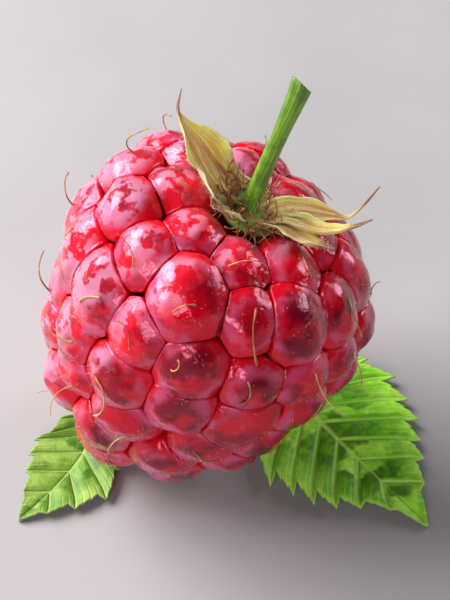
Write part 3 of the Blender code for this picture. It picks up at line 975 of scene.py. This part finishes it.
def leaf_finish(name, veins, dark, middle, light, vein_color):
    """Green blade: pale veins with painted shade in the valleys beside them, lighter towards the margin,
    paler below.
    """
    leaf = Finish(name)
    uv = leaf.uv()
    blade = leaf.add("ShaderNodeGroup", {"UV": uv}, node_tree=blade_place)
    across = blade["Across"]
    order = leaf.times(blade["Along"], veins + 1.0)
    beside = leaf.math("PINGPONG", order, 0.5)
    fork = leaf.math("PINGPONG", leaf.times(order, 4.0), 0.5)
    branch = leaf.times(leaf.fade(fork, 0.16, 0.04), leaf.times(leaf.fade(across, 0.35, 0.9), 0.55))
    main_vein = leaf.math("MAXIMUM", leaf.fade(beside, 0.065, 0.015), leaf.fade(across, 0.04, 0.01))
    vein = leaf.math("MAXIMUM", main_vein, branch)
    net = leaf.add("ShaderNodeTexVoronoi", {"Vector": leaf.place, "Scale": 1700.0},
                   feature="DISTANCE_TO_EDGE")
    net_line = leaf.fade(net["Distance"], 0.12, 0.02)
    patch = leaf.patches(330.0, 0.38, 0.62)
    between = leaf.times(leaf.fade(across, 0.95, 0.35), leaf.fade(beside, 0.06, 0.16))
    color = leaf.layers(leaf.mix(patch, middle, light), [
        (leaf.lines(uv, 70.0, 5.0, 0.42, 0.60), 0.5, light),
        (leaf.times(between, leaf.patches(260.0, 0.45, 0.53)), 0.9, dark),
        (leaf.patches(900.0, 0.45, 0.6), 0.5, middle),
        # painted shade: darker in the valleys along the side veins
        (leaf.fade(beside, 0.30, 0.06), 0.3, dark),
        (leaf.fade(across, 0.8, 1.0), 0.6, light),
        (net_line, 0.05, light),
        (vein, 0.6, vein_color)])
    color = leaf.mix(blade["Under"], color, leaf.mix(0.55, color, PALE_UNDERSIDE))
    height = leaf.minus(leaf.times(leaf.noise(2600.0, 2.0), 0.4), leaf.times(net_line, 0.12))
    leaf.bump(leaf.minus(height, vein), 0.6, 0.00012)
    leaf.set({"Base Color": color, "Roughness": leaf.ranged(patch, 0.42, 0.58), "Specular IOR Level": 0.3})
    return leaf.material


# %% Two leaves
STALK_RADIUS = 0.42
STALK_OVERLAP = 1.5
STALK_THINNER = 0.8
STALK_SIDES = 20
STALK_RIDGES = 0.06

stalk = Finish("leaf stalk")
fibres = stalk.lines(stalk.uv(), 3.0, 24.0)
stalk.set({"Base Color": stalk.mix(fibres, (0.20, 0.30, 0.05), (0.38, 0.44, 0.12)), "Roughness": 0.5})


def make_leaf(side, shape, *colors):
    """A leaf blade and its stalk, as two pieces that stand for one solid."""
    solid = "leaf_" + side
    material = leaf_finish(side + " leaf", len(shape["left_teeth"]), *colors)
    finish_piece(solid + "_blade", leaf_mesh("leaf " + side, shape), lie, solid, [material])
    midrib = smooth(shape["midrib"])
    inner = midrib[0] + unit(midrib[1] - midrib[0]) * STALK_OVERLAP
    path = [(*inner, VEIN_KEEL)] + [(*spot, STALK_RADIUS) for spot in shape["stalk"]]
    thin = STALK_RADIUS * STALK_THINNER
    radii = [VEIN_KEEL, thin, thin, STALK_RADIUS]
    mesh = tube("stalk " + side, path, radii, STALK_SIDES, ridges=STALK_RIDGES)
    finish_piece(solid + "_stalk", mesh, lie, solid, [stalk.material] * 2)


# The colours of each leaf: dark, middle, light, and that of its veins.
RIGHT_GREENS = [(0.028, 0.14, 0.002), (0.16, 0.56, 0.010), (0.46, 1.0, 0.08), (0.55, 0.92, 0.17)]
LEFT_GREENS = [(0.036, 0.13, 0.005), (0.11, 0.27, 0.016), (0.27, 0.46, 0.07), (0.38, 0.54, 0.15)]
make_leaf("right", RIGHT_LEAF, *RIGHT_GREENS)
make_leaf("left", LEFT_LEAF, *LEFT_GREENS)

# %% [markdown]
# ## Calyx
#
# The sepals spread from a small green disc. They are dry and felted: beige with brown
# streaks, green towards their margins, cupped, and curled at the edges. The one on the right
# is folded along its midrib, so it shows as an upper and a lower half.

# %% Sepal shapes
SEPAL_CUP = 0.3
SEPAL_ROWS = 48
SEPAL_COLUMNS = 21
SEPAL_THIN = 0.17
WAVE_RATES = (9, 17, 31, 47)
WAVE_HEIGHT = 2.2
WAVE_START = 6.3
WAVE_APART = 3.1
EDGE_WAVE = 0.45
PLEAT_HEIGHT = 0.06
PLEAT_RATE = 9
NIBBLE_DEPTH = 0.10
NIBBLE_RATE = 23
EDGE_THINNER = 0.75
# Each sepal: its turn and roll in degrees, then its (radius, height, half width) from root to tip.
SEPALS = [
    (-107, 0, [(1.0, 10.3, 2.5), (2.3, 10.9, 3.1), (3.4, 11.6, 3.1), (4.5, 12.5, 2.6), (5.6, 13.5, 1.5),
               (6.5, 14.4, 0.5), (6.85, 15.1, 0.28), (6.95, 16.6, 0.2)]),
    (95, -12, [(1.0, 10.3, 0.8), (2.5, 11.6, 0.9), (4.2, 11.9, 1.0), (5.9, 12.2, 0.6), (7.0, 12.4, 0.3),
               (7.7, 13.8, 0.22), (8.3, 15.8, 0.2)]),
    (70, 12, [(1.0, 10.3, 0.9), (2.7, 11.5, 1.1), (4.5, 12.0, 1.2), (5.8, 12.8, 1.0), (6.9, 14.0, 0.5),
              (8.0, 15.5, 0.22)]),
    (53, 5, [(1.0, 10.2, 0.8), (2.6, 11.4, 1.1), (4.1, 11.7, 1.1), (5.5, 12.3, 0.8), (6.7, 13.1, 0.22)]),
    (-50, 0, [(1.0, 10.2, 0.9), (2.1, 11.0, 1.2), (3.1, 11.6, 1.0), (4.1, 11.8, 0.35)]),
    (158, 0, [(1.0, 10.2, 0.8), (1.8, 10.8, 0.8), (2.4, 11.2, 0.6), (2.9, 11.5, 0.25)]),
]


def sepal_mesh(name, turn, roll, points, draw):
    """A cupped and slightly crumpled blade, as a thin shell in the berry's own frame."""
    level = compass(math.radians(turn))
    path = np.array([(*(level * radius + UP * height), half) for radius, height, half in points])
    fine = smooth(path, 16)
    travelled = lengths(fine[:, :3])
    at = np.linspace(0, travelled[-1], SEPAL_ROWS)
    curve = np.stack([np.interp(at, travelled, column) for column in fine.T], axis=1)
    ahead = np.gradient(curve[:, :3], axis=0)
    tangent = ahead / np.linalg.norm(ahead, axis=1, keepdims=True)
    side = np.cross(tangent, UP)
    side /= np.linalg.norm(side, axis=1, keepdims=True)
    lift = np.cross(side, tangent)
    angle = math.radians(roll)
    across = side * math.cos(angle) + lift * math.sin(angle)
    up_side = np.cross(across, tangent)
    u = np.linspace(-1, 1, SEPAL_COLUMNS)[None, :]
    half = curve[:, 3:4] * np.clip(curve[:, 3:4] / 0.55, 0.3, 1)
    share = (at / at[-1])[:, None]
    waves = sum(np.sin(share * rate + draw.uniform(0, WAVE_START)
                       + np.sign(u) * draw.uniform(0, WAVE_APART)) / rate
                for rate in WAVE_RATES) * WAVE_HEIGHT
    edge = np.abs(u) ** 3
    pleats = PLEAT_HEIGHT * half * np.cos(u * PLEAT_RATE) * (1 - edge)
    rise = SEPAL_CUP * half * u ** 2 + waves * edge * EDGE_WAVE * half + pleats
    nibbled = 1 + np.sin(share * NIBBLE_RATE + draw.uniform(0, WAVE_START))
    reach = half * u * (1 - NIBBLE_DEPTH * edge * nibbled)
    middle = curve[:, None, :3] + across[:, None] * reach[..., None] + up_side[:, None] * rise[..., None]
    thin = SEPAL_THIN * (1 - EDGE_THINNER * edge) * np.clip((1.06 - share) / 0.2, 0.3, 1)
    offset = up_side[:, None] * (thin / 2)[..., None]
    return shell(name, middle + offset, middle - offset)


# %% Sepal material
BEIGE_DARK = (0.58, 0.35, 0.09)
BEIGE_LIGHT = (0.95, 0.76, 0.26)
MARGIN_GREEN = (0.72, 0.80, 0.14)
ROOT_GREEN = (0.36, 0.42, 0.07)
RUST = (0.30, 0.045, 0.02)
CREAM = (0.90, 0.84, 0.55)
DARK_TIP = (0.20, 0.045, 0.015)

felt = Finish("sepal")
uv = felt.uv()
blade = felt.add("ShaderNodeGroup", {"UV": uv}, node_tree=blade_place)
fine_lines = felt.lines(uv, 7.0, 26.0, 0.42, 0.62)
broad_lines = felt.lines(uv, 5.0, 8.0, 0.46, 0.64)
patch = felt.patches(380.0, 0.4, 0.6)
green = felt.times(felt.fade(blade["Across"], 0.35, 0.95), felt.plus(felt.times(patch, 0.5), 0.5))
root = felt.fade(blade["Along"], 0.55, 0.05)
color = felt.layers(felt.mix(fine_lines, BEIGE_DARK, BEIGE_LIGHT), [
    (green, 1.0, MARGIN_GREEN),
    (root, 0.25, ROOT_GREEN),
    (felt.times(broad_lines, felt.plus(felt.times(root, 0.75), 0.25)), 1.0, RUST),
    (felt.fade(blade["Across"], 0.90, 0.98), 0.6, CREAM),
    (felt.fade(blade["Along"], 0.70, 0.86), 1.0, DARK_TIP)])
felt.bump(felt.plus(felt.times(fine_lines, 0.6), felt.noise(2400.0, 2.0)), 0.5, 0.00012)
felt.set({
    "Base Color": color, "Roughness": 0.7,
    "Subsurface Weight": 0.35, "Subsurface Radius": (1.0, 0.8, 0.35), "Subsurface Scale": 0.0006,
    "Sheen Weight": 0.35, "Sheen Roughness": 0.45, "Sheen Tint": (1.0, 0.95, 0.82, 1.0)})

# %% Sepals and disc
DISC = [(0.0, 10.7), (1.0, 10.75), (1.6, 10.7), (2.1, 10.4), (1.9, 9.9), (1.3, 9.3), (0.0, 9.3)]
DISC_SIDES = 40
draw = random.Random(SEED + 2)
for number, (turn, roll, points) in enumerate(SEPALS, 1):
    mesh = sepal_mesh("sepal", turn, roll, points, draw)
    downy.append((mesh.copy(), "calyx"))
    finish_piece("sepal_" + str(number), mesh, stand, "calyx", [felt.material])

disc_green = two_tone("calyx disc", 900.0, 0.35, 0.65, (0.10, 0.28, 0.02), (0.30, 0.42, 0.08), 0.6)
finish_piece("calyx_disc", turned("disc", DISC, DISC_SIDES), stand, "calyx", [disc_green])

# %% [markdown]
# ## Stem
#
# The stem is a fibrous green stalk, ridged along its length, that widens a little where it
# was cut at a slant. The cut shows paler wood with fine pores.

# %% Stem
STEM_PATH = [(-0.1, 0, 10.7), (-0.1, 0, 11.25), (0.0, 0, 14.6), (0.25, 0, 17.9), (0.62, 0, 21.75)]
STEM_RADII = [0.85, 0.66, 0.55, 0.55, 0.74]
STEM_SIDES = 40
STEM_STEPS = 14
STEM_SLANT = 0.6
STEM_SLANT_SIDE = (0.6, 0.8, 0.0)
STEM_RIDGES = 0.05
STEM_CAPS = (1.0, 0.93, 0.6, 0.3, 0.0)
STEM_DARK = (0.055, 0.16, 0.007)
STEM_GREEN = (0.15, 0.36, 0.018)
STEM_LIGHT = (0.28, 0.52, 0.05)
STEM_MOTTLE = (0.05, 0.15, 0.008)

bark = Finish("stem skin")
uv = bark.uv()
fine_lines = bark.lines(uv, 6.0, 34.0)
color = bark.layers(bark.mix(bark.lines(uv, 3.0, 9.0, 0.42, 0.62), STEM_DARK, STEM_GREEN), [
    (fine_lines, 0.55, STEM_LIGHT), (bark.patches(1100.0, 0.50, 0.60), 0.45, STEM_MOTTLE)])
bark.bump(fine_lines, 0.5, 0.0001)
bark.set({"Base Color": color, "Roughness": 0.45})

cut = Finish("stem cut")
pores = cut.add("ShaderNodeTexVoronoi", {"Vector": cut.place, "Scale": 6000.0})["Distance"]
cut.set({"Base Color": cut.mix(pores, (0.30, 0.48, 0.10), (0.55, 0.70, 0.28)), "Roughness": 0.6})

stem_mesh = tube("stem", STEM_PATH, STEM_RADII, STEM_SIDES, STEM_STEPS, STEM_SLANT_SIDE, STEM_SLANT,
                 STEM_RIDGES, STEM_CAPS)
downy.append((stem_mesh.copy(), "stem"))
finish_piece("stem_stalk", stem_mesh, stand, "stem", [bark.material, cut.material])


# %% [markdown]
# ## Dry threads
#
# Every drupelet once carried a style, and many keep it as a fine dry thread with a small
# knob at its end. Brown stamens crowd round the foot of the stem. Each thread is a path of
# points with a thickness, and one tree sweeps a small ring along all of them.

# %% The thread tree
def thread_tree():
    """Edges with a thickness at each point, swept into thin closed tubes."""
    grow = Growth("threads", [("Sides", "Int", 5)])
    start = grow.start
    thickness = grow.read("thickness")
    path = grow.shape("GeometryNodeMeshToCurve", {"Mesh": start["Geometry"]})
    sized = grow.shape("GeometryNodeSetCurveRadius", {"Curve": path, "Radius": thickness})
    ring = grow.shape("GeometryNodeCurvePrimitiveCircle", {"Resolution": start["Sides"], "Radius": 1.0})
    swept = grow.tree.nodes.new("GeometryNodeCurveToMesh")
    swept_inputs = {"Curve": sized, "Profile Curve": ring, "Fill Caps": True}
    if "Scale" in swept.inputs:
        swept_inputs["Scale"] = thickness
    for name, value in swept_inputs.items():
        grow.feed(swept.inputs[name], value)
    return grow.finish(grow.shape("GeometryNodeSetShadeSmooth", {"Geometry": swept.outputs["Mesh"]}))


# %% Curling paths
THREAD_STEPS = 14
THREAD_SIDES = 5
WANDER = 0.35
# The thickness at each step of a thread: it thins from the root, and a knob may end it.
thread_places = np.arange(THREAD_STEPS + 1)
thinning = np.interp(thread_places, (0, 3, THREAD_STEPS - 2, THREAD_STEPS), (1.3, 1.0, 0.7, 0.6))
knob = np.interp(thread_places, (THREAD_STEPS - 3, THREAD_STEPS - 1, THREAD_STEPS), (0, 1.1, 0.2))


def random_direction(draw, reach):
    """Three draws, one for each axis."""
    return np.array([draw.uniform(-reach, reach) for _ in range(3)])


def curl_path(begin, heading, length, curl, draw):
    """A path that sets off along a heading and turns round an axis that wanders a little."""
    heading = unit(np.array(heading, float))
    axis = unit(np.cross(heading, random_direction(draw, 1)))
    points = [np.array(begin, float)]
    for _ in range(THREAD_STEPS):
        turn = curl / THREAD_STEPS
        heading = unit(heading * math.cos(turn) + np.cross(axis, heading) * math.sin(turn))
        axis = axis + random_direction(draw, WANDER)
        axis = unit(axis - heading * axis.dot(heading))
        points.append(points[-1] + heading * length / THREAD_STEPS)
    return np.array(points)


def is_inside(points):
    """Whether a path stays within the solid's box."""
    return bool(np.all(points > BOX_LOW) and np.all(points < BOX_HIGH))


def thread_mesh(name, paths, material):
    """One mesh from many paths, each given as (points, thickness at each point)."""
    count = THREAD_STEPS + 1
    edges = [(count * n + k, count * n + k + 1) for n in range(len(paths)) for k in range(THREAD_STEPS)]
    mesh = bpy.data.meshes.new(name)
    mesh.from_pydata(np.concatenate([path for path, _ in paths]).tolist(), edges, [])
    thickness = np.concatenate([thick for _, thick in paths])
    mesh.attributes.new("thickness", "FLOAT", "POINT").data.foreach_set("value", thickness)
    return apply_tree(name, mesh, threads, {"Sides": THREAD_SIDES, "Material": material})


threads = thread_tree()

# %% [markdown]
# ## Where the styles are
#
# The styles that the photograph shows are placed one by one, by drupelet and by the way that
# they point in the picture. The rest of the fruit gets its own by a seeded draw.

# %% Styles
# (row, number) of the drupelet, then right and up in the picture, length in millimetres, curl in radians.
SEEN_STYLES = [
    ((3, 10), -1.0, 0.9, 2.6, 1.6), ((3, 11), -1.0, 0.1, 2.2, 1.2), ((4, 10), -1.0, 0.4, 2.6, 2.2),
    ((2, 11), -0.8, 0.5, 2.0, 2.0), ((1, 9), -1.0, 0.6, 3.0, 3.6), ((1, 8), -0.6, 1.0, 1.8, 2.4),
    ((2, 13), 0.7, 0.5, 1.6, 1.5), ((2, 14), 0.3, 1.0, 2.4, 1.4), ((1, 0), -0.3, -1.0, 3.0, 0.6),
    ((1, 12), 0.5, 0.7, 1.4, 1.2), ((1, 1), -0.5, -0.8, 1.8, 1.4), ((3, 12), 0.9, -0.4, 3.4, 2.4),
    ((2, 2), 0.2, -1.0, 2.8, 0.9), ((2, 1), 0.1, -1.0, 2.8, 0.8), ((2, 0), 0.5, -0.8, 2.0, 2.2),
    ((4, 11), -0.5, 0.4, 2.6, 2.8), ((4, 0), 0.4, -0.9, 1.8, 1.9), ((3, 1), 0.2, 0.9, 2.0, 1.0),
    ((1, 2), 0.2, -1.0, 2.4, 0.6), ((0, 7), 0.8, 0.5, 2.0, 0.8), ((3, 0), -0.6, -0.6, 1.9, 2.4),
    ((2, 12), -0.7, -0.6, 2.0, 1.7), ((5, 0), -0.5, -0.3, 1.6, 2.0), ((1, 11), 0.2, 0.8, 2.0, 1.2),
]
STYLE_THICKNESS = 0.045
STYLE_SHARE = 0.4
STYLE_LENGTHS = (1.0, 2.6)
STYLE_CURLS = (0.6, 3.0)
STYLE_SPREAD = (0.7, 1.15)
STYLE_KNOBS = 0.5
STYLE_BACK = 0.55
STYLE_RISE = 0.35
STYLE_TRIES = 20
SEEN_TRIES = 6
SEEN_LENGTH = 1.25
SEEN_THICKER = 1.3
CLEAR = 0.05
draw = random.Random(SEED + 3)
middles = np.array([seat["middle"] for seat in places])
facings = np.array([(seat["around"], seat["outline"], seat["normal"]) for seat in places])
halves = np.array([DRUPELET * seat["size"] for seat in places]) + CLEAR


def upright(direction):
    """A direction in the standing berry, turned back to the upright one."""
    x, y, z = direction
    return np.array((x * math.cos(LEAN) - z * math.sin(LEAN), y, x * math.sin(LEAN) + z * math.cos(LEAN)))


def push_out(points):
    """Lift points that lie inside a drupelet to just above its skin."""
    for middle, facing, half in zip(middles, facings, halves):
        local = (points - middle) @ facing.T / half
        reach = np.linalg.norm(local, axis=1, keepdims=True)
        local = np.where(reach < 1, local / np.maximum(reach, 0.1), local)
        points = middle + local * half @ facing
    return points


def style_path(seat, heading, length, curl, draw):
    """A style that starts beside the top of a drupelet and crosses it along a heading."""
    heading = unit(heading)
    begin = seat["middle"] + unit(seat["normal"] - heading * STYLE_BACK) * DRUPELET[2] * seat["size"]
    path = curl_path(begin, heading + seat["normal"] * STYLE_RISE, length, curl, draw)
    lifted = push_out(path)
    lifted[0] = path[0]
    return lifted


dry = Finish("dry thread")
tan = dry.mix(dry.patches(500.0, 0.42, 0.58), (0.32, 0.08, 0.025), (0.72, 0.44, 0.17))
dry.set({"Base Color": dry.layers(tan, [(dry.patches(2500.0, 0.4, 0.6), 0.4, (0.22, 0.08, 0.025))]),
         "Roughness": 0.6})
seen = {spot: values for spot, *values in SEEN_STYLES}
paths = []
for seat in places:
    chosen = seen.get((seat["row"], seat["k"]))
    if chosen is None and draw.random() > STYLE_SHARE:
        continue
    for attempt in range(STYLE_TRIES):
        if chosen and attempt < SEEN_TRIES:
            to_right, to_up, length, curl = chosen
            heading = upright(right) * to_right + upright(up) * to_up
            length = length * SEEN_LENGTH
        else:
            heading = np.cross(seat["normal"], random_direction(draw, 1))
            length = draw.uniform(*STYLE_LENGTHS)
            curl = draw.uniform(*STYLE_CURLS)
        path = style_path(seat, heading, length, curl, draw)
        if is_inside(stand(path)):
            thick = STYLE_THICKNESS * draw.uniform(*STYLE_SPREAD)
            thick = thick * (thinning + knob * (draw.random() < STYLE_KNOBS))
            paths.append((path, thick * (SEEN_THICKER if chosen else 1)))
            break
finish_piece("berry_styles", thread_mesh("styles", paths, dry.material), stand, "berry")
print("styles:", len(paths))

# %% Stamens
STAMENS = 170
STAMEN_ROOTS = (1.0, 2.2)
STAMEN_HEIGHTS = (10.2, 10.8)
STAMEN_RISE = (0.0, 1.4)
STAMEN_LENGTHS = (0.8, 2.6)
STAMEN_CURLS = (0.5, 3.0)
STAMEN_THICKNESS = 0.05
STAMEN_SPREAD = (0.6, 1.2)
STAMEN_KNOB = 1.2
STAMEN_KNOBS = 0.35
brown = two_tone("stamen", 900.0, 0.4, 0.6, (0.24, 0.012, 0.010), (0.50, 0.24, 0.07), 0.6)
paths = []
while len(paths) < STAMENS:
    level = compass(draw.uniform(0, 2 * math.pi))
    begin = level * draw.uniform(*STAMEN_ROOTS) + UP * draw.uniform(*STAMEN_HEIGHTS)
    heading = level + UP * draw.uniform(*STAMEN_RISE)
    length = draw.uniform(*STAMEN_LENGTHS)
    curl = draw.uniform(*STAMEN_CURLS)
    path = push_out(curl_path(begin, heading, length, curl, draw))
    if is_inside(stand(path)):
        thick = STAMEN_THICKNESS * draw.uniform(*STAMEN_SPREAD)
        paths.append((path, thick * (thinning + STAMEN_KNOB * knob * (draw.random() < STAMEN_KNOBS))))
finish_piece("calyx_stamens", thread_mesh("stamens", paths, brown), stand, "calyx")


# %% [markdown]
# ## Down
#
# The sepals are felted, the foot of the stem is hairy, and even the drupelets carry a little
# pale down. One tree scatters straight hairs over a surface, leans each a little by chance,
# and keeps to the parts that rise above a given height.

# %% The hair tree
SHORTEST_HAIR = 0.45


def hair_tree():
    """Thin cones scattered over a surface, each leaning a little."""
    grow = Growth("hairs", [
        ("Density", "Float", 1.0), ("Length", "Float", 0.4), ("Thickness", "Float", 0.01),
        ("Lean", "Float", 0.6), ("Above", "Float", -1.0), ("Seed", "Int", 0)])
    start = grow.start
    outer = grow.add("FunctionNodeCompare", {0: grow.read("rise"), 1: start["Above"]},
                     data_type="FLOAT", operation="GREATER_THAN")
    spots = grow.add("GeometryNodeDistributePointsOnFaces", {
        "Mesh": start["Geometry"], "Selection": outer["Result"],
        "Density": start["Density"], "Seed": start["Seed"]})
    hair = grow.shape("GeometryNodeMeshCone", {
        "Vertices": 3, "Radius Top": 0.0, "Radius Bottom": 1.0, "Depth": 1.0}, fill_type="NONE")
    lean = grow.add("FunctionNodeRandomValue", {"Seed": start["Seed"]}, data_type="FLOAT_VECTOR")[0]
    spread = grow.scaled(grow.vector("SUBTRACT", lean, (0.5, 0.5, 0.5)), grow.times(start["Lean"], 2.0))
    tilt = grow.add("FunctionNodeEulerToRotation", {"Euler": spread})
    facing = grow.add("FunctionNodeRotateRotation", {
        "Rotation": spots["Rotation"], "Rotate By": tilt["Rotation"]}, rotation_space="LOCAL")
    chance = grow.add("FunctionNodeRandomValue", {2: SHORTEST_HAIR, 3: 1.0, "Seed": start["Seed"]},
                      data_type="FLOAT")[1]
    size = grow.add("ShaderNodeCombineXYZ", {
        "X": start["Thickness"], "Y": start["Thickness"], "Z": grow.times(start["Length"], chance)})
    return grow.finish(grow.shape("GeometryNodeInstanceOnPoints", {
        "Points": spots["Points"], "Instance": hair, "Rotation": facing["Rotation"],
        "Scale": size["Vector"]}))


# %% Hairs
# For each solid: hairs a square millimetre, length, half thickness, lean, lowest rise that carries hairs.
DOWN = {
    "berry": (1.2, 0.42, 0.010, 0.7, 1.75),
    "calyx": (9.0, 0.42, 0.010, 0.8, -1.0),
    "stem": (10.0, 0.70, 0.012, 0.7, 0.5),
}
STEM_HAIR_TOP = 12.3
pale = two_tone("down", 800.0, 0.4, 0.6, (0.62, 0.50, 0.30), (0.85, 0.80, 0.66), 0.6)
hairs = hair_tree()
for number, (mesh, node_name) in enumerate(downy):
    if node_name == "stem":
        low_part = [float(vertex.co.z < STEM_HAIR_TOP) for vertex in mesh.vertices]
        mesh.attributes.new("rise", "FLOAT", "POINT").data.foreach_set("value", low_part)
    values = dict(zip(("Density", "Length", "Thickness", "Lean", "Above"), DOWN[node_name]))
    grown = apply_tree("hairs", mesh, hairs, {**values, "Seed": SEED + number, "Material": pale})
    finish_piece("down_" + str(number), grown, stand, node_name)
